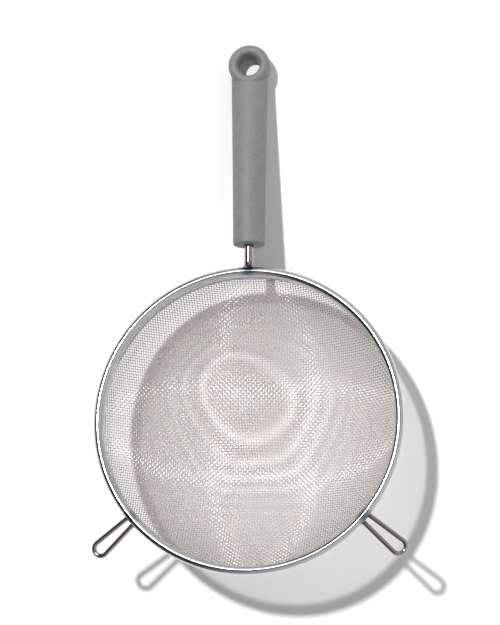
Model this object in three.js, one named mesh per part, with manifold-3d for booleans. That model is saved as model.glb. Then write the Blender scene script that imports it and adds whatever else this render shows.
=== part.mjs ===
// Mesh strainer: a pressed wire-mesh bowl in a rolled steel rim, with a welded tang, a moulded grip that
// ends in a hanging eye, and two wire loops that rest on the rim of a pot.
// Millimetres. It lies as on a table, on the bowl and the eye: +Z up, +Y towards the eye, Z = 0 the table.
import * as THREE from "three";
import { mergeVertices } from "three/addons/utils/BufferGeometryUtils.js";
import Module from "manifold-3d";

const wasm = await Module();
wasm.setup();

// Driving dimensions
const rimDiameter = 200; // over the bead
const beadDiameter = 6;
const stripThickness = 0.5;
const clearance = 0.3; // between pieces that touch
const legDrop = 5; // from the bead's centre down to where the legs turn in along the bowl
const legTurn = 3.5; // length of the legs that follow the bowl
const seamOffset = 5.6; // butt seam of the strip, beside the tang
const seamGap = 0.35;

const bowlDepth = 58; // from the bead's centre to the bottom of the mesh
const hemThickness = 1; // edge of the mesh, folded and pressed flat
const hemShow = 2.4; // hem that shows below the legs
const netPitch = 14; // the net stands for a finer weave with the same weight of steel
const netWire = 1.25;
const netLayerStep = 0.4; // between the two layers of wires, which are sunk into each other
const netBend = 17.5; // straight length between a wire's bends

const tangDiameter = 6;
const handleRise = 1.6; // degrees, tang and grip above the plane of the rim
const tangExposed = 14.4; // from the rim to the grip
const tangInGrip = 60;
const tangFootDiameter = 9.6;
const tangFootLength = 3.2;

const gripToEye = 121.3; // from the grip's lower face to the eye's centre
const gripEndDiameter = 20.8;
const gripNeckWidth = 24.5; // at the eye
const gripNeckThickness = 13.4;
const gripFlare = 1.3; // exponent of the swelling towards the eye
const gripFlatStart = 0.3; // share of its length where it starts to flatten towards the eye
const gripEdge = 1.2;
const eyeDiameter = 27.5;
const eyeThickness = 14.4;
const eyeEdge = 3.6;
const eyeHoleDiameter = 13.2; // at its waist
const eyeHoleEdge = 2.9;
const eyeHoleStretch = 2.2; // height over width of the hole's rounded edges

const footWireDiameter = 3.1;
const footAngle = 40.5; // degrees back from the cross axis, away from the handle
const footSlope = 11; // degrees down from the rim
const footReach = 27.1; // from the rim to the centre of the loop's end
const footEndDiameter = 9.2; // of the wire's centre line
const footLegSpacing = 5.6;
const footSeat = 4.4; // below the bead's centre
const footInset = 2; // of the wire's ends before they are cut to the rim

const rimSteps = 64;
const degree = Math.PI / 180;

// Worked out from these
const beadRadius = beadDiameter / 2;
const beadCircle = rimDiameter / 2 - beadRadius;
const boreRadius = beadRadius - stripThickness;
const slotHalf = hemThickness / 2 + clearance;
const legHalf = slotHalf + stripThickness;
const bowlAngle = 2 * Math.atan((bowlDepth - legDrop) / beadCircle); // slope where the legs turn in
const bowlRadius = beadCircle / Math.sin(bowlAngle);
const bowlCentre = bowlRadius - bowlDepth; // height of the bowl's centre of curvature above the bead
const legAngle = bowlAngle - legTurn / bowlRadius;
const hemAngle = legAngle - hemShow / bowlRadius;
const gripStart = rimDiameter / 2 + tangExposed;
const eyeCentre = gripStart + gripToEye;

// Tang and grip are drawn along +Y and then raised about the outer edge of the rim.
const raised = new THREE.Matrix4()
  .makeTranslation(0, rimDiameter / 2, 0)
  .multiply(new THREE.Matrix4().makeRotationX(handleRise * degree))
  .multiply(new THREE.Matrix4().makeTranslation(0, -rimDiameter / 2, 0));

// Solids and geometries
function solidOf(geometry) {
  const bare = geometry.clone();
  bare.deleteAttribute("normal");
  bare.deleteAttribute("uv");
  const merged = mergeVertices(bare, 1e-4);
  const vertProperties = new Float32Array(merged.attributes.position.array);
  const triVerts = new Uint32Array(merged.index.array);
  return new wasm.Manifold(new wasm.Mesh({ numProp: 3, vertProperties, triVerts }));
}

function geometryOf(solid) {
  const mesh = solid.getMesh();
  const geometry = new THREE.BufferGeometry();
  geometry.setAttribute("position", new THREE.BufferAttribute(mesh.vertProperties, 3));
  geometry.setIndex(new THREE.BufferAttribute(mesh.triVerts, 1));
  geometry.computeVertexNormals();
  return geometry;
}

// Turns an outline of (radius, height) points, listed anticlockwise, round the Z axis.
function revolve(outline, steps) {
  const geometry = new THREE.LatheGeometry(outline, steps);
  return geometry.rotateX(Math.PI / 2);
}

function arcPoints(centreX, centreY, radius, from, to, steps, stretch = 1) {
  return Array.from({ length: steps + 1 }, (_, i) => {
    const angle = from + ((to - from) * i) / steps;
    const height = stretch * radius * Math.sin(angle);
    return new THREE.Vector2(centreX + radius * Math.cos(angle), centreY + height);
  });
}

// Round wire or rod section
function roundSection(diameter, sides) {
  return new THREE.Shape(arcPoints(0, 0, diameter / 2, 0, 2 * Math.PI * (1 - 1 / sides), sides - 1));
}

function along(curve, section, steps) {
  return new THREE.ExtrudeGeometry(section, { extrudePath: curve, steps, bevelEnabled: false });
}

// The rim's section: a leg at a given distance outside (+) or inside (-) the mesh runs straight down from
// the bead and then turns in along the bowl.
function bowlPoint(offset, angle) {
  const radius = bowlRadius + offset;
  return new THREE.Vector2(radius * Math.sin(angle), bowlCentre - radius * Math.cos(angle));
}

function legPoints(offset, endAngle) {
  const turnAngle = Math.asin((beadCircle + offset) / (bowlRadius + offset));
  return [bowlPoint(offset, turnAngle), bowlPoint(offset, endAngle)];
}

// Up the outer leg, over the bead and down the inner leg
function rimOutline(half, radius, steps) {
  const opening = Math.acos(half / radius);
  return [
    ...legPoints(half, legAngle).reverse(),
    ...arcPoints(beadCircle, 0, radius, -opening, Math.PI + opening, steps),
    ...legPoints(-half, legAngle),
  ];
}

function closed(points) {
  return [...points, points[0]];
}

const outside = rimOutline(legHalf, beadRadius, 10);
const inside = rimOutline(slotHalf, boreRadius, 6).reverse();
const seam = new THREE.BoxGeometry(seamGap, 4 * beadDiameter, 4 * (legDrop + legTurn));
seam.translate(seamOffset, beadCircle, 0);
const rimBand = solidOf(revolve(closed([...outside, ...inside]), rimSteps)).subtract(solidOf(seam));

// What welded pieces keep clear of
const rimKeepOut = solidOf(
  revolve(closed(rimOutline(legHalf + clearance, beadRadius + clearance, 16)), rimSteps),
);

const coreRadius = boreRadius - clearance;
const rimWire = revolve(closed(arcPoints(beadCircle, 0, coreRadius, 0, 2 * Math.PI * (7 / 8), 7)), rimSteps);

// Mesh bowl: a hem in the rim's slot, and two layers of wires across the bowl
function hem() {
  const half = hemThickness / 2;
  const top = -coreRadius - clearance;
  return revolve(
    closed([
      ...legPoints(half, hemAngle).reverse(),
      new THREE.Vector2(beadCircle + half, top),
      new THREE.Vector2(beadCircle - half, top),
      ...legPoints(-half, hemAngle),
    ]),
    rimSteps,
  );
}

// A wire in the plane across = distance, which follows the bowl from hem to hem
class BowlWire extends THREE.Curve {
  constructor(distance, layer, turned) {
    super();
    const radius = bowlRadius + layer;
    const endAngle = (legAngle + hemAngle) / 2;
    const halfChord = Math.sqrt((radius * Math.sin(endAngle)) ** 2 - distance ** 2);
    this.distance = distance;
    this.turned = turned;
    this.radius = Math.sqrt(radius ** 2 - distance ** 2);
    this.swing = Math.asin(halfChord / this.radius);
  }

  getPoint(t, target = new THREE.Vector3()) {
    const angle = (2 * t - 1) * this.swing;
    const run = this.radius * Math.sin(angle);
    const height = bowlCentre - this.radius * Math.cos(angle);
    return this.turned ? target.set(run, this.distance, height) : target.set(this.distance, run, height);
  }
}

function meshBowl() {
  const half = netWire / 2;
  const section = new THREE.Shape([
    new THREE.Vector2(-half, -half),
    new THREE.Vector2(half, -half),
    new THREE.Vector2(half, half),
    new THREE.Vector2(-half, half),
  ]);
  const count = Math.floor((hemAngle * bowlRadius) / netPitch - 0.5);
  const layers = [false, true].map((turned) => {
    const layer = turned ? netLayerStep / 2 : -netLayerStep / 2;
    let joined = null;
    for (let i = -count; i <= count; i++) {
      const distance = bowlRadius * Math.sin((i * netPitch) / bowlRadius);
      const wire = new BowlWire(distance, layer, turned);
      const steps = Math.max(4, Math.round((2 * wire.swing * wire.radius) / netBend));
      const solid = solidOf(along(wire, section, steps));
      joined = joined ? joined.add(solid) : solid;
    }
    return joined;
  });
  return layers[0].add(layers[1]).add(solidOf(hem()));
}

// Tang: a rod with a flared weld foot, cut to sit on the bead
function tang() {
  const radius = tangDiameter / 2;
  const flare = tangFootDiameter / 2 - radius;
  const start = beadCircle + beadRadius / 2;
  const footEnd = rimDiameter / 2 + tangFootLength;
  const end = gripStart + tangInGrip;
  const chamfer = radius / 4;
  const sweep = [1, 0.75, 0.5, 0.25].map(
    (share) => new THREE.Vector2(radius + flare * share ** 2, footEnd - (footEnd - start) * share),
  );
  const profile = [
    new THREE.Vector2(0, start),
    ...sweep,
    new THREE.Vector2(radius, footEnd),
    new THREE.Vector2(radius, end - chamfer),
    new THREE.Vector2(radius - chamfer, end),
    new THREE.Vector2(0, end),
  ];
  return solidOf(new THREE.LatheGeometry(profile, 20).applyMatrix4(raised)).subtract(rimKeepOut);
}

// Grip: a bar that is round at the tang and wider and flatter at the eye, joined to the eye's ring, whose
// hole has a waist, with the tang's socket in its lower face
function gripRadius(share) {
  return THREE.MathUtils.lerp(gripEndDiameter, gripNeckWidth, share ** gripFlare) / 2;
}

function flattened(bar) {
  const points = bar.attributes.position;
  for (let i = 0; i < points.count; i++) {
    const share = (points.getY(i) - gripStart) / gripToEye;
    const flat = THREE.MathUtils.smoothstep(share, gripFlatStart, 1);
    points.setZ(i, points.getZ(i) * THREE.MathUtils.lerp(1, gripNeckThickness / gripNeckWidth, flat));
  }
  return bar;
}

function grip() {
  const barSteps = 10;
  const barEnd = gripRadius(0) - gripEdge;
  const barSide = Array.from({ length: barSteps }, (_, i) => {
    const share = (i + 1) / barSteps;
    return new THREE.Vector2(gripRadius(share), gripStart + gripToEye * share);
  });
  const barProfile = [
    new THREE.Vector2(0, gripStart),
    ...arcPoints(barEnd, gripStart + gripEdge, gripEdge, -Math.PI / 2, 0, 3),
    ...barSide,
    new THREE.Vector2(0, eyeCentre),
  ];
  const bar = flattened(new THREE.LatheGeometry(barProfile, 36));

  const half = eyeThickness / 2;
  const flat = eyeDiameter / 2 - eyeEdge;
  const disc = revolve(
    [
      new THREE.Vector2(0, -half),
      ...arcPoints(flat, -half + eyeEdge, eyeEdge, -Math.PI / 2, 0, 5),
      ...arcPoints(flat, half - eyeEdge, eyeEdge, 0, Math.PI / 2, 5),
      new THREE.Vector2(0, half),
    ],
    40,
  ).translate(0, eyeCentre, 0);

  const mouth = eyeHoleDiameter / 2 + eyeHoleEdge;
  const edgeHeight = eyeHoleEdge * eyeHoleStretch;
  const hole = revolve(
    [
      new THREE.Vector2(0, -half - eyeHoleEdge),
      new THREE.Vector2(mouth, -half - eyeHoleEdge),
      ...arcPoints(mouth, edgeHeight - half, eyeHoleEdge, -Math.PI / 2, -Math.PI, 5, eyeHoleStretch),
      ...arcPoints(mouth, half - edgeHeight, eyeHoleEdge, Math.PI, Math.PI / 2, 5, eyeHoleStretch),
      new THREE.Vector2(mouth, half + eyeHoleEdge),
      new THREE.Vector2(0, half + eyeHoleEdge),
    ],
    32,
  ).translate(0, eyeCentre, 0);

  const socketRadius = tangDiameter / 2 + clearance;
  const socketEnd = gripStart + tangInGrip + clearance;
  const socket = new THREE.LatheGeometry(
    [
      new THREE.Vector2(0, gripStart - gripEdge),
      new THREE.Vector2(socketRadius, gripStart - gripEdge),
      new THREE.Vector2(socketRadius, socketEnd),
      new THREE.Vector2(0, socketEnd),
    ],
    20,
  );
  const body = solidOf(bar).add(solidOf(disc)).subtract(solidOf(hole)).subtract(solidOf(socket));
  return geometryOf(body).applyMatrix4(raised);
}

// Rest loop: a wire bent to a teardrop, whose two ends are welded to the outer leg of the rim
class TeardropLoop extends THREE.Curve {
  constructor(side) {
    super();
    const round = footEndDiameter / 2;
    const spread = footLegSpacing / 2;
    const run = footReach + footInset;
    const lean = Math.asin(round / Math.hypot(run, spread)) - Math.atan2(spread, run);
    const outline = new THREE.Path();
    outline.moveTo(-footInset, -spread);
    outline.lineTo(footReach - round * Math.sin(lean), -round * Math.cos(lean));
    outline.absarc(footReach, 0, round, -Math.PI / 2 - lean, Math.PI / 2 + lean, false);
    outline.lineTo(-footInset, spread);
    this.outline = outline;
    const azimuth = footAngle * degree;
    const slope = footSlope * degree;
    this.out = new THREE.Vector3(
      side * Math.cos(azimuth) * Math.cos(slope),
      -Math.sin(azimuth) * Math.cos(slope),
      -Math.sin(slope),
    );
    this.across = new THREE.Vector3(side * Math.sin(azimuth), Math.cos(azimuth), 0);
    const seat = beadCircle + legHalf + clearance;
    this.weld = new THREE.Vector3(
      side * seat * Math.cos(azimuth),
      -seat * Math.sin(azimuth),
      -footSeat,
    );
  }

  getPoint(t, target = new THREE.Vector3()) {
    const flat = this.outline.getPointAt(t);
    return target.copy(this.weld).addScaledVector(this.out, flat.x).addScaledVector(this.across, flat.y);
  }
}

function restLoop(side) {
  const wire = along(new TeardropLoop(side), roundSection(footWireDiameter, 10), 44);
  return solidOf(wire).subtract(rimKeepOut);
}

// Materials
const polishedSteel = { color: 0xc8cacb, roughness: 0.18, metalness: 1 };
const wovenSteel = { color: 0xb9b6b1, roughness: 0.34, metalness: 1 };
const greyPlastic = { color: 0x8c908d, roughness: 0.58, metalness: 0 };

function part(name, shape, look) {
  const geometry = shape.isBufferGeometry ? shape : geometryOf(shape);
  const mesh = new THREE.Mesh(geometry, new THREE.MeshStandardMaterial(look));
  mesh.name = name;
  return mesh;
}

const strainer = new THREE.Group();
strainer.add(part("rim_band", rimBand, polishedSteel));
strainer.add(part("rim_wire", rimWire, polishedSteel));
strainer.add(part("mesh_bowl", meshBowl(), wovenSteel));
strainer.add(part("tang", tang(), polishedSteel));
strainer.add(part("grip", grip(), greyPlastic));
strainer.add(part("left_foot", restLoop(-1), polishedSteel));
strainer.add(part("right_foot", restLoop(1), polishedSteel));

// It rests on the bowl and on the lower edge of the eye: the tilt at which both touch one plane.
function restTilt() {
  const eyeEnd = eyeCentre + eyeDiameter / 2 - eyeEdge;
  const edge = new THREE.Vector3(0, eyeEnd, eyeEdge - eyeThickness / 2).applyMatrix4(raised);
  const drop = bowlCentre - edge.z;
  const reach = bowlRadius + netLayerStep / 2 + netWire / 2 - eyeEdge;
  return Math.atan2(edge.y, drop) - Math.acos(reach / Math.hypot(edge.y, drop));
}

strainer.rotation.x = -restTilt();

const group = new THREE.Group();
group.add(strainer);
group.updateMatrixWorld(true);
const box = new THREE.Box3().setFromObject(group, true);
const middle = box.getCenter(new THREE.Vector3());
strainer.position.set(-middle.x, -middle.y, -box.min.z);

export default group;
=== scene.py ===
import math

import bpy
import numpy as np
from mathutils import Matrix, Vector


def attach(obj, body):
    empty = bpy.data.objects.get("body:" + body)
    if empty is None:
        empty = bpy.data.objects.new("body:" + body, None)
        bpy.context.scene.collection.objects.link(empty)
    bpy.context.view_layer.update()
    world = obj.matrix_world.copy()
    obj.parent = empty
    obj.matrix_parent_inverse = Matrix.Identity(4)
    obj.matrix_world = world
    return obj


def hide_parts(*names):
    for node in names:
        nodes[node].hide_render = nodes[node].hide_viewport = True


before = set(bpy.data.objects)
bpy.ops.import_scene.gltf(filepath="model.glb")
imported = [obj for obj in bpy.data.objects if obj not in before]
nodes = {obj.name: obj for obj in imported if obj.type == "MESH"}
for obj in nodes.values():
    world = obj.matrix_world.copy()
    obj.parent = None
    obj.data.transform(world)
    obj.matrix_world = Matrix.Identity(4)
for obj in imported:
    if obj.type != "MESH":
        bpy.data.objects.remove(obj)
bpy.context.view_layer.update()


# Lengths are in mm in the rim's own frame: the bead's centre is 0, +Y runs to the handle, +Z out of the bowl
def rimToRow():
    points = np.array([v.co for v in nodes["rim_wire"].data.vertices])
    points = np.unique(np.round(points, 6), axis=0)
    centre = (points.min(axis=0) + points.max(axis=0)) / 2
    normal = np.linalg.svd(points - points.mean(axis=0))[2][2]
    up = Vector(normal if normal[2] > 0 else -normal)
    ahead = (Vector((0, 1, 0)) - up * up.y).normalized()
    turn = Matrix((ahead.cross(up), ahead, up)).transposed()
    return Matrix.Translation(centre) @ turn.to_4x4() @ Matrix.Scale(0.001, 4)


toRow = rimToRow()


def linear(hexColour):
    parts = [int(hexColour[i:i + 2], 16) / 255 for i in (1, 3, 5)]
    return [p / 12.92 if p <= 0.04045 else ((p + 0.055) / 1.055) ** 2.4 for p in parts] + [1]


def perMetre(mm):
    return 1000 / mm  # a pattern's scale, from the size of its features


def addNode(tree, kind, values=None, links=None, stops=(), **settings):
    made = tree.nodes.new(kind)
    for key, value in settings.items():
        setattr(made, key, value)
    for key, value in (values or {}).items():
        made.inputs[key].default_value = value
    for key, source in (links or {}).items():
        tree.links.new(source, made.inputs[key])
    if stops:  # a colour ramp's
        points = made.color_ramp.elements
        while len(points) < len(stops):
            points.new(0.5)
        for point, (position, colour) in zip(points, stops):
            point.position, point.color = position, colour
    return made


def newMaterial(name):
    made = bpy.data.materials.new(name)
    made.use_nodes = True
    made.node_tree.nodes.clear()
    return made, made.node_tree


# Every wire, tube and turned piece is a stack of closed rings of points, skinned with quads and capped
def ringFaces(count, around, base=0):
    i, k = np.indices((count - 1, around))
    on = (k + 1) % around
    quads = np.stack([i * around + k, i * around + on, (i + 1) * around + on, (i + 1) * around + k], axis=-1)
    firstCap = list(range(base + around - 1, base - 1, -1))
    lastCap = list(range(base + (count - 1) * around, base + count * around))
    return (quads.reshape(-1, 4) + base).tolist() + [firstCap, lastCap]


def ringMap(rings):
    # mm along and round the piece for each corner of its quads, nothing for the caps
    count, around = rings.shape[:2]
    i, k = np.indices((count - 1, around))
    along = np.linalg.norm(np.diff(rings[:, 0], axis=0), axis=1)
    across = np.linalg.norm(np.diff(rings[0], axis=0, append=rings[0, :1]), axis=1)
    u = np.concatenate([[0], np.cumsum(along)])
    v = np.concatenate([[0], np.cumsum(across)])
    corners = [(u[i], v[k]), (u[i], v[k + 1]), (u[i + 1], v[k + 1]), (u[i + 1], v[k])]
    quads = np.stack([np.stack(c, axis=-1) for c in corners], axis=-2).reshape(-1, 2)
    return np.concatenate([quads, np.zeros((2 * around, 2))])


def skin(name, parts, material, node, sharp=35):
    faces, base = [], 0
    for rings in parts:
        count, around = rings.shape[:2]
        faces.extend(ringFaces(count, around, base))
        base += count * around
    mesh = bpy.data.meshes.new(name)
    mesh.from_pydata(np.concatenate([rings.reshape(-1, 3) for rings in parts]).tolist(), [], faces)
    mesh.transform(toRow)
    surface = mesh.uv_layers.new(name="surface_mm")
    corners = np.concatenate([ringMap(rings) for rings in parts])
    surface.data.foreach_set("uv", corners.astype(np.float32).ravel())
    return addPiece(name, mesh, material, node, sharp)


def addPiece(name, mesh, material, node, sharp):
    mesh.polygons.foreach_set("use_smooth", [True] * len(mesh.polygons))
    mesh.set_sharp_from_angle(angle=math.radians(sharp))
    mesh.materials.append(material)
    piece = bpy.data.objects.new(name, mesh)
    bpy.context.scene.collection.objects.link(piece)
    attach(piece, "root")
    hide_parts(node)
    return piece


def tubeRings(path, normals, radius, sides):
    tangents = np.gradient(path, axis=0)
    tangents /= np.linalg.norm(tangents, axis=1)[:, None]
    side = np.cross(tangents, normals)
    side /= np.linalg.norm(side, axis=1)[:, None]
    upward = np.cross(side, tangents)
    angle = np.linspace(0, 2 * np.pi, sides, endpoint=False)[None, :, None]
    return path[:, None] + radius * (np.cos(angle) * side[:, None] + np.sin(angle) * upward[:, None])


def arc(centre, radius, start, end, steps):
    angle = np.radians(np.linspace(start, end, steps + 1))
    wide, high = np.broadcast_to(radius, 2)
    return np.stack([centre[0] + wide * np.cos(angle), centre[1] + high * np.sin(angle)], axis=1)


# Blue-grey bloom that welding leaves on the steel where tang and loops meet the rim
heat = {"welds": [(0.0, 98.0, 1.0), (-74.6, -63.7, 0.0), (74.6, -63.7, 0.0)],
        "full": 2.5, "gone": 6.5, "share": 0.85, "colour": "#4a5866"}


def heatTint(tree, spot, tone):
    gaps = [addNode(tree, "ShaderNodeVectorMath", {1: toRow @ Vector(weld)}, {0: spot}, operation="DISTANCE")
            for weld in heat["welds"]]
    near = gaps[0].outputs["Value"]
    for gap in gaps[1:]:
        near = addNode(tree, "ShaderNodeMath", links={0: near, 1: gap.outputs["Value"]},
                       operation="MINIMUM").outputs["Value"]
    bloom = addNode(tree, "ShaderNodeMapRange",
                    {"From Min": heat["full"] / 1000, "From Max": heat["gone"] / 1000,
                     "To Min": heat["share"], "To Max": 0.0}, {"Value": near})
    mixed = addNode(tree, "ShaderNodeMix", {7: linear(heat["colour"])}, {0: bloom.outputs["Result"], 6: tone},
                    data_type="RGBA")
    return mixed.outputs[2]


def polishedSteel(name, tones, roughness):
    # Stainless, polished: sharp reflections with faint lines along the strip or wire
    made, tree = newMaterial(name)
    surface = addNode(tree, "ShaderNodeUVMap", uv_map="surface_mm").outputs["UV"]
    # Lines 33 mm long and 0.2 mm apart
    lines = addNode(tree, "ShaderNodeMapping", {"Scale": (0.03, 5.0, 1.0)}, {"Vector": surface})
    grain = addNode(tree, "ShaderNodeTexNoise", {"Scale": 1.0, "Detail": 3.0},
                    {"Vector": lines.outputs["Vector"]}).outputs["Fac"]
    spot = addNode(tree, "ShaderNodeTexCoord").outputs["Object"]
    haze = addNode(tree, "ShaderNodeTexNoise", {"Scale": perMetre(16.667), "Detail": 4.0}, {"Vector": spot})
    rough = addNode(tree, "ShaderNodeMapRange", {"To Min": roughness[0], "To Max": roughness[1]},
                    {"Value": haze.outputs["Fac"]})
    tone = addNode(tree, "ShaderNodeValToRGB", links={"Fac": grain},
                   stops=[(0.3, linear(tones[0])), (0.7, linear(tones[1]))])
    tinted = heatTint(tree, spot, tone.outputs["Color"])
    bump = addNode(tree, "ShaderNodeBump", {"Strength": 0.06, "Distance": 0.0001}, {"Height": grain})
    shader = addNode(tree, "ShaderNodeBsdfPrincipled", {"Metallic": 1.0},
                     {"Base Color": tinted, "Roughness": rough.outputs["Result"],
                      "Normal": bump.outputs["Normal"]})
    addNode(tree, "ShaderNodeOutputMaterial", links={"Surface": shader.outputs["BSDF"]})
    return made


def wovenSteel():
    # Drawn stainless wire, pickled after weaving: a soft grey shine, warmer than the rim and partly matte.
    # Its tone is painted light and shade: palest at the bottom of the bowl, where the sun falls square on the
    # wires, and greyer up the wall, where the sun only grazes them.
    made, tree = newMaterial("stainless_wire_woven")
    spot = addNode(tree, "ShaderNodeTexCoord").outputs["Object"]
    patch = addNode(tree, "ShaderNodeTexNoise", {"Scale": perMetre(40), "Detail": 3.0},
                    {"Vector": spot}).outputs["Fac"]
    height = addNode(tree, "ShaderNodeVectorMath", {1: (0.0, 0.233, 0.972)}, {0: spot},
                     operation="DOT_PRODUCT")
    # Painted shade: the wire's tone greys from the bottom of the bowl up the wall
    paintedWallShade = addNode(tree, "ShaderNodeMapRange", {"From Min": 0.0, "From Max": 0.03},
                   {"Value": height.outputs["Value"]})
    mixed = addNode(tree, "ShaderNodeMix", {"Factor": 0.15}, {"A": paintedWallShade.outputs["Result"], "B": patch},
                    data_type="FLOAT")
    tone = addNode(tree, "ShaderNodeValToRGB", links={"Fac": mixed.outputs["Result"]},
                   stops=[(0.1, linear("#ebe5e1")), (0.9, linear("#cdc5c1"))])
    rough = addNode(tree, "ShaderNodeMapRange", {"To Min": 0.245, "To Max": 0.305}, {"Value": patch})
    shader = addNode(tree, "ShaderNodeBsdfPrincipled", {"Metallic": 0.72},
                     {"Base Color": tone.outputs["Color"], "Roughness": rough.outputs["Result"]})
    addNode(tree, "ShaderNodeOutputMaterial", links={"Surface": shader.outputs["BSDF"]})
    return made


def moulding():
    # Grey plastic with a soft-touch grain from the mould: matte, with a fine speckle.
    # The speckle is drawn coarser than a real grain, so that it shows.
    made, tree = newMaterial("plastic_moulded_soft_touch")
    spot = addNode(tree, "ShaderNodeTexCoord").outputs["Object"]
    speckle = addNode(tree, "ShaderNodeTexNoise", {"Scale": perMetre(1.111), "Detail": 2.0},
                      {"Vector": spot}).outputs["Fac"]
    cloud = addNode(tree, "ShaderNodeTexNoise", {"Scale": perMetre(6.25), "Detail": 4.0},
                    {"Vector": spot}).outputs["Fac"]
    both = addNode(tree, "ShaderNodeMix", {"Factor": 0.65}, {"A": cloud, "B": speckle},
                   data_type="FLOAT").outputs["Result"]
    tone = addNode(tree, "ShaderNodeValToRGB", links={"Fac": both},
                   stops=[(0.3, linear("#717675")), (0.7, linear("#838786"))])
    bump = addNode(tree, "ShaderNodeBump", {"Strength": 0.12, "Distance": 0.0002}, {"Height": speckle})
    rough = addNode(tree, "ShaderNodeMapRange", {"To Min": 0.5, "To Max": 0.62}, {"Value": both})
    shader = addNode(tree, "ShaderNodeBsdfPrincipled", {"Specular IOR Level": 0.4, "Sheen Weight": 0.12},
                     {"Base Color": tone.outputs["Color"], "Roughness": rough.outputs["Result"],
                      "Normal": bump.outputs["Normal"]})
    addNode(tree, "ShaderNodeOutputMaterial", links={"Surface": shader.outputs["BSDF"]})
    return made


def studioFloor():
    # White card: nothing but shadows shows on it
    made, tree = newMaterial("white_card")
    spot = addNode(tree, "ShaderNodeTexCoord").outputs["Object"]
    fibre = addNode(tree, "ShaderNodeTexNoise", {"Scale": perMetre(2.5), "Detail": 2.0}, {"Vector": spot})
    tone = addNode(tree, "ShaderNodeValToRGB", links={"Fac": fibre.outputs["Fac"]},
                   stops=[(0.2, linear("#f9f9f9")), (0.8, linear("#fbfbfb"))])
    shader = addNode(tree, "ShaderNodeBsdfDiffuse", links={"Color": tone.outputs["Color"]})
    addNode(tree, "ShaderNodeOutputMaterial", links={"Surface": shader.outputs["BSDF"]})
    return made


steel = polishedSteel("stainless_rolled_polished", ("#c6c9cb", "#d8dadb"), (0.1, 0.16))
# The drawn wire's darker, warmer tone is partly its duller finish and partly painted shade, standing in for
# the shadowed floor that the tang and loops mirror.
drawnSteel = polishedSteel("stainless_wire_drawn", ("#a6a09b", "#b8b2ac"), (0.07, 0.13))  # duller, warmer
wireSteel = wovenSteel()
plastic = moulding()
print("materials made")

# Rim: the strip's section, turned round from one side of the butt seam to the other
rim = {"radius": 97.0, "bead": 3.0, "strip": 0.5, "slot": 0.8, "turnDown": 5.0, "turnIn": 3.5, "depth": 58.0,
       "legTop": 0.6, "legBend": (0.15, 0.5, 1.0), "seamAt": 5.6, "seamGap": 0.35,
       "outerSteps": 28, "innerSteps": 16, "steps": 420}
bowlAngle = 2 * math.atan((rim["depth"] - rim["turnDown"]) / rim["radius"])
bowlRadius = rim["radius"] / math.sin(bowlAngle)
bowlCentre = bowlRadius - rim["depth"]
legAngle = bowlAngle - rim["turnIn"] / bowlRadius


def bowlPoint(offset, angle):
    return (bowlRadius + offset) * math.sin(angle), bowlCentre - (bowlRadius + offset) * math.cos(angle)


def legPoints(offset):
    turn = math.asin((rim["radius"] + offset) / (bowlRadius + offset))
    top = (rim["radius"] + offset, bowlPoint(offset, turn)[1] + rim["legTop"])
    return np.array([top] + [bowlPoint(offset, turn + (legAngle - turn) * share) for share in rim["legBend"]])


def stripOutline(half, bead, steps):
    opening = math.degrees(math.acos(half / bead))
    over = arc((rim["radius"], 0), bead, -opening, 180 + opening, steps)
    return np.concatenate([legPoints(half)[::-1], over, legPoints(-half)])


def turned(outline, start, end, steps):
    angle = np.linspace(start, end, steps)[:, None]
    radius, height = outline[None, :, 0], outline[None, :, 1]
    return np.stack([radius * np.cos(angle), radius * np.sin(angle), height + 0 * angle], axis=-1)


outer = stripOutline(rim["slot"] + rim["strip"], rim["bead"], rim["outerSteps"])
inner = stripOutline(rim["slot"], rim["bead"] - rim["strip"], rim["innerSteps"])[::-1]
seamStart = math.pi / 2 - (rim["seamAt"] - rim["seamGap"] / 2) / rim["radius"]
seamEnd = math.pi / 2 - (rim["seamAt"] + rim["seamGap"] / 2) / rim["radius"] + 2 * math.pi
strip = turned(np.concatenate([outer, inner]), seamStart, seamEnd, rim["steps"])
skin("rim_strip", [strip], steel, "rim_band", sharp=40)
nodes["rim_wire"].data.materials.clear()
nodes["rim_wire"].data.materials.append(wireSteel)
print("rim made")

# Weave: plain weave with a constant pitch along the bowl, warp along the handle, weft across it
weave = {"pitch": 1.75, "wire": 0.55, "sides": 5, "hold": 0.24, "edge": 0.4, "fewestCrossed": 3,
         "square": 1.3, "wave": 0.42, "waves": ((1 / 9, 1 / 21, 0.7), (-1 / 26, 1 / 10, 2.1))}


def pressed(x, y):
    # The mesh gives more along its diagonals, so the bowl is pressed a little square, and not quite evenly
    share = np.hypot(x, y) / rim["radius"]
    square = -weave["square"] * np.cos(4 * np.arctan2(y, x))
    wave = weave["wave"] * sum(np.sin(x * a + y * b + shift) for a, b, shift in weave["waves"])
    return 4 * share ** 2 * (1 - share ** 2) * (square + wave)  # nothing at the middle and at the rim


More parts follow.
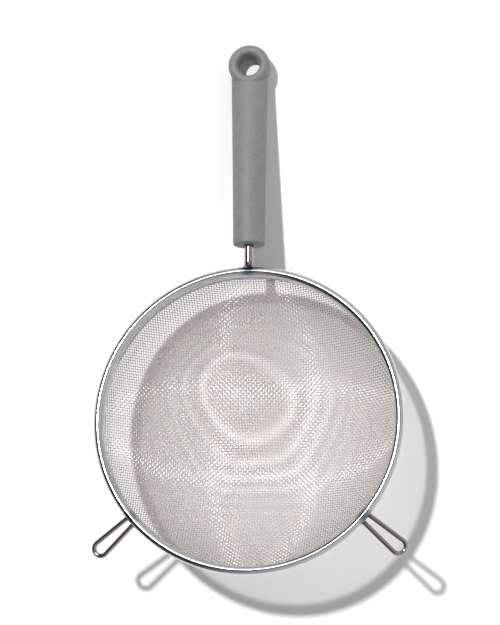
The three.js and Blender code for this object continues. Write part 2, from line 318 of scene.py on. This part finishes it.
def weaveWires(acrossHandle):
    edge = bowlRadius * math.sin(bowlAngle)
    reach = int(bowlAngle * bowlRadius / weave["pitch"])
    count = np.arange(-reach, reach + 1)
    lines = bowlRadius * np.sin(count * weave["pitch"] / bowlRadius)
    parity = np.where(count % 2 == 0, 1, -1)
    wires = []
    for line, sign in zip(lines, parity):
        limit = math.sqrt(max(edge ** 2 - line ** 2, 0))
        crossed = np.abs(lines) < limit - weave["edge"]
        if crossed.sum() < weave["fewestCrossed"]:
            continue
        stops = lines[crossed]
        gap = weave["hold"] * np.gradient(stops)
        run = np.stack([stops - gap, stops + gap], axis=1).ravel()
        lift = np.repeat(parity[crossed] * sign, 2) * weave["wire"] / 2 * (1 if acrossHandle else -1)
        run = np.concatenate([[-limit], run, [limit]])
        lift = np.concatenate([[0], lift, [0]])
        x, y = (run, line + 0 * run) if acrossHandle else (line + 0 * run, run)
        out = np.stack([x, y, -np.sqrt(bowlRadius ** 2 - x ** 2 - y ** 2)], axis=1) / bowlRadius
        path = out * (bowlRadius + lift + pressed(x, y))[:, None] + [0, 0, bowlCentre]
        wires.append(tubeRings(path, out, weave["wire"] / 2, weave["sides"]))
    return wires


for name, acrossHandle in (("weave_warp", False), ("weave_weft", True)):
    wires = weaveWires(acrossHandle)
    middle = len(wires) // 2
    skin(name + "_a", wires[:middle], wireSteel, "mesh_bowl", sharp=80)
    skin(name + "_b", wires[middle:], wireSteel, "mesh_bowl", sharp=80)
print("weave made")

# Handle: tang and grip are drawn along +Y from the rim's outer edge, then raised a little
handle = {"rise": 1.6, "start": 100.0}


def raised(points):
    turn = math.radians(handle["rise"])
    y, z = points[..., 1] - handle["start"], points[..., 2]
    return np.stack([points[..., 0], handle["start"] + y * math.cos(turn) - z * math.sin(turn),
                     y * math.sin(turn) + z * math.cos(turn)], axis=-1)


def turnedAlong(outline, steps, flat=1.0):
    # An outline of (radius, y) points, turned round the handle's axis and flattened from ring to ring
    angle = np.linspace(0, 2 * np.pi, steps, endpoint=False)[None, :]
    radius, y = outline[:, 0, None], outline[:, 1, None]
    depth = radius * np.broadcast_to(flat, len(outline))[:, None]
    return raised(np.stack([radius * np.cos(angle), y + 0 * angle, -depth * np.sin(angle)], axis=-1))


tang = {"radius": 3.0, "foot": 4.6, "tip": 98.9, "tipShare": 0.9, "footStart": 99.0, "footEnd": 103.2,
        "sweep": 2.2, "footSteps": 14, "end": 174.0, "around": 40}
sweep = np.linspace(1, 0, tang["footSteps"])
footOutline = np.stack([tang["radius"] + (tang["foot"] - tang["radius"]) * sweep ** tang["sweep"],
                        tang["footEnd"] - (tang["footEnd"] - tang["footStart"]) * sweep], axis=1)
tangOutline = np.concatenate([[[tang["foot"] * tang["tipShare"], tang["tip"]]], footOutline,
                              [[tang["radius"], tang["end"]]]])
skin("tang_rod", [turnedAlong(tangOutline, tang["around"])], drawnSteel, "tang")
print("tang made")

grip = {"start": 114.4, "toEye": 121.3, "endRadius": 10.4, "neckRadius": 12.25, "neckHalf": 6.7, "flare": 1.3,
        "flatFrom": 0.3, "edge": 1.2, "edgeShare": 0.03, "eyeRadius": 13.75, "eyeHalf": 7.2, "eyeEdge": 3.6,
        "hole": 6.6, "holeEdge": (2.9, 6.4), "cutPast": 3.0,
        "socket": 3.2, "socketFrom": 112.0, "socketTo": 176.0, "voxel": 0.45, "melt": 0.5, "meltRounds": 5}


def plainMesh(name, rings):
    # A closed mesh for cutting and joining
    count, around = rings.shape[:2]
    mesh = bpy.data.meshes.new(name)
    mesh.from_pydata(rings.reshape(-1, 3).tolist(), [], ringFaces(count, around))
    made = bpy.data.objects.new(name, mesh)
    bpy.context.scene.collection.objects.link(made)
    return made


def turnedUp(outline, steps):
    # An outline of (radius, z) points, turned round the eye's axis
    angle = np.linspace(0, 2 * np.pi, steps, endpoint=False)[None, :]
    radius, z = outline[:, 0, None], outline[:, 1, None]
    y = grip["start"] + grip["toEye"] + radius * np.sin(angle)
    return raised(np.stack([radius * np.cos(angle), y, z + 0 * angle], axis=-1))


def gripBar():
    share = np.linspace(grip["edgeShare"], 1, 40)
    radius = grip["endRadius"] + (grip["neckRadius"] - grip["endRadius"]) * share ** grip["flare"]
    side = np.stack([radius, grip["start"] + grip["toEye"] * share], axis=1)
    edge = arc((grip["endRadius"] - grip["edge"], grip["start"] + grip["edge"]), grip["edge"], -90, 0, 6)
    bent = np.clip((share - grip["flatFrom"]) / (1 - grip["flatFrom"]), 0, 1)
    flat = 1 + (grip["neckHalf"] / grip["neckRadius"] - 1) * bent ** 2 * (3 - 2 * bent)
    return turnedAlong(np.concatenate([edge, side]), 96, np.concatenate([np.ones(len(edge)), flat]))


def eyeDisc():
    half, edge = grip["eyeHalf"], grip["eyeEdge"]
    ring = grip["eyeRadius"] - edge
    return turnedUp(np.concatenate([arc((ring, edge - half), edge, -90, 0, 12),
                                    arc((ring, half - edge), edge, 0, 90, 12)]), 120)


def eyeHole():
    half, past = grip["eyeHalf"], grip["cutPast"]
    wide, high = grip["holeEdge"]
    mouth = grip["hole"] + wide
    return turnedUp(np.concatenate([[[mouth, -half - past]],
                                    arc((mouth, high - half), grip["holeEdge"], 270, 180, 12),
                                    arc((mouth, half - high), grip["holeEdge"], 180, 90, 12),
                                    [[mouth, half + past]]]), 96)


def gripPiece():
    bar = plainMesh("bar", gripBar())
    disc = plainMesh("disc", eyeDisc())
    hole = plainMesh("hole", eyeHole())
    socket = plainMesh("socket", turnedAlong(np.array([[grip["socket"], grip["socketFrom"]],
                                                       [grip["socket"], grip["socketTo"]]]), 40))
    for tool, what in ((disc, "UNION"), (hole, "DIFFERENCE"), (socket, "DIFFERENCE")):
        cut = bar.modifiers.new(tool.name, "BOOLEAN")
        cut.object, cut.operation, cut.solver = tool, what, "EXACT"
    even = bar.modifiers.new("even", "REMESH")  # even faces, so that the smoothing rounds every edge alike
    even.mode, even.voxel_size = "VOXEL", grip["voxel"]
    melt = bar.modifiers.new("melt", "SMOOTH")
    melt.factor, melt.iterations = grip["melt"], grip["meltRounds"]
    shape = bpy.data.meshes.new_from_object(bar.evaluated_get(bpy.context.evaluated_depsgraph_get()))
    shape.transform(toRow)
    for tool in (bar, disc, hole, socket):
        bpy.data.objects.remove(tool)
    shape.name = "grip_body"
    return addPiece("grip_body", shape, plastic, "grip", sharp=50)


gripPiece()
print("grip made")

# Rest loops: wire bent to a teardrop, both ends welded under the bead
loop = {"wire": 3.1, "angle": 40.5, "slope": 11.0, "reach": 27.1, "round": 4.6, "spread": 2.8, "seat": 4.4,
        "weldGap": 0.3, "past": 0.2, "sides": 20}


def loopRings(side):
    run = loop["reach"] + loop["past"]
    lean = math.asin(loop["round"] / math.hypot(run, loop["spread"])) - math.atan2(loop["spread"], run)
    quarter = 90 + math.degrees(lean)
    end = arc((loop["reach"], 0), loop["round"], -quarter, quarter, 40)
    leg = np.linspace([-loop["past"], -loop["spread"]], end[0], 14)[:-1]
    outline = np.concatenate([leg, end, leg[::-1] * [1, -1]])
    turn, slope = math.radians(loop["angle"]), math.radians(loop["slope"])
    away = np.array([side * math.cos(turn) * math.cos(slope),
                     -math.sin(turn) * math.cos(slope), -math.sin(slope)])
    across = np.array([side * math.sin(turn), math.cos(turn), 0])
    seat = rim["radius"] + rim["slot"] + rim["strip"] + loop["weldGap"]
    weld = np.array([side * seat * math.cos(turn), -seat * math.sin(turn), -loop["seat"]])
    path = weld + outline[:, :1] * away + outline[:, 1:] * across
    normals = np.broadcast_to(np.cross(away, across), path.shape)
    return tubeRings(path, normals, loop["wire"] / 2, loop["sides"])


skin("left_loop", [loopRings(-1)], drawnSteel, "left_foot")
skin("right_loop", [loopRings(1)], drawnSteel, "right_foot")
print("loops made")

# Card, light and camera, with directions in the rim's frame but for the sky's, which are in the row's
rowTurn = toRow.to_3x3().normalized()
bpy.ops.mesh.primitive_plane_add(size=30)
card = bpy.context.object
card.name = "card"
card.rotation_euler.y = math.radians(4.0)  # the strainer lies rolled to its left, so the card leans under it
card.data.materials.append(studioFloor())

light = {"strength": 2.78, "spread": 2.8, "from": (-0.228, 0.18, 0.956)}
sun = bpy.data.lights.new("window", "SUN")
sun.energy = light["strength"]
sun.angle = math.radians(light["spread"])
lamp = bpy.data.objects.new("window", sun)
lamp.rotation_euler = (rowTurn @ Vector(light["from"])).to_track_quat("Z", "Y").to_euler()
bpy.context.scene.collection.objects.link(lamp)

# The room is dark on the left and pale on the right, dimmer near the horizon.
# A pane of soft light beyond the grip is mirrored by the near side of the rim.
studio = {"brighter": (0.45, -0.2, 0.0),
          "levels": ((0.0, 0.03), (0.42, 0.05), (0.6, 0.46), (0.8, 0.66), (1.0, 0.83)),
          "horizon": 0.4, "dimHeight": 0.4, "pane": (0.1, 0.85, 0.52),
          "paneFrom": 0.9, "paneFull": 0.96, "paneLevel": 0.8}
world = bpy.data.worlds.new("studio")
bpy.context.scene.world = world
world.use_nodes = True
sky = world.node_tree
sky.nodes.clear()
seen = addNode(sky, "ShaderNodeTexCoord").outputs["Generated"]
side = addNode(sky, "ShaderNodeVectorMath", {1: studio["brighter"]}, {0: seen}, operation="DOT_PRODUCT")
share = addNode(sky, "ShaderNodeMath", {1: 0.5}, {0: side.outputs["Value"]}, operation="ADD")
wall = addNode(sky, "ShaderNodeValToRGB", links={"Fac": share.outputs["Value"]},
               stops=[(at, (level, level, level, 1)) for at, level in studio["levels"]])
height = addNode(sky, "ShaderNodeSeparateXYZ", links={0: seen}).outputs["Z"]
dim = addNode(sky, "ShaderNodeMapRange",
              {"From Min": 0.0, "From Max": studio["dimHeight"], "To Min": studio["horizon"], "To Max": 1.0},
              {"Value": height})
toPane = addNode(sky, "ShaderNodeVectorMath", {1: studio["pane"]}, {0: seen}, operation="DOT_PRODUCT")
pane = addNode(sky, "ShaderNodeMapRange",
               {"From Min": studio["paneFrom"], "From Max": studio["paneFull"],
                "To Max": studio["paneLevel"]},
               {"Value": toPane.outputs["Value"]})
both = addNode(sky, "ShaderNodeVectorMath", links={0: wall.outputs["Color"], 1: pane.outputs["Result"]},
               operation="ADD")
room = addNode(sky, "ShaderNodeBackground",
               links={"Color": both.outputs["Vector"], "Strength": dim.outputs["Result"]})
addNode(sky, "ShaderNodeOutputWorld", links={"Surface": room.outputs["Background"]})

# The camera's axes in the rim's frame, the rim's centre as the camera sees it, and its focal length in pixels
shot = {"right": (0.99157, 0.00807, -0.12935), "up": (0.02217, 0.97279, 0.23061),
        "back": (0.12769, -0.23153, 0.96441), "centre": (-1.526, -67.732, -1404.725),
        "focal": 2199.29, "tall": 625}
turn = Matrix((shot["right"], shot["up"], shot["back"]))
spot = turn.transposed() @ -Vector(shot["centre"])
view = bpy.data.cameras.new("view")
view.lens = shot["focal"] * view.sensor_width / shot["tall"]
camera = bpy.data.objects.new("view", view)
camera.matrix_world = Matrix.Translation(toRow @ spot) @ (rowTurn @ turn.transposed()).to_4x4()
bpy.context.scene.collection.objects.link(camera)
bpy.context.scene.camera = camera
bpy.context.scene.view_settings.view_transform = "Standard"
print("stage made")
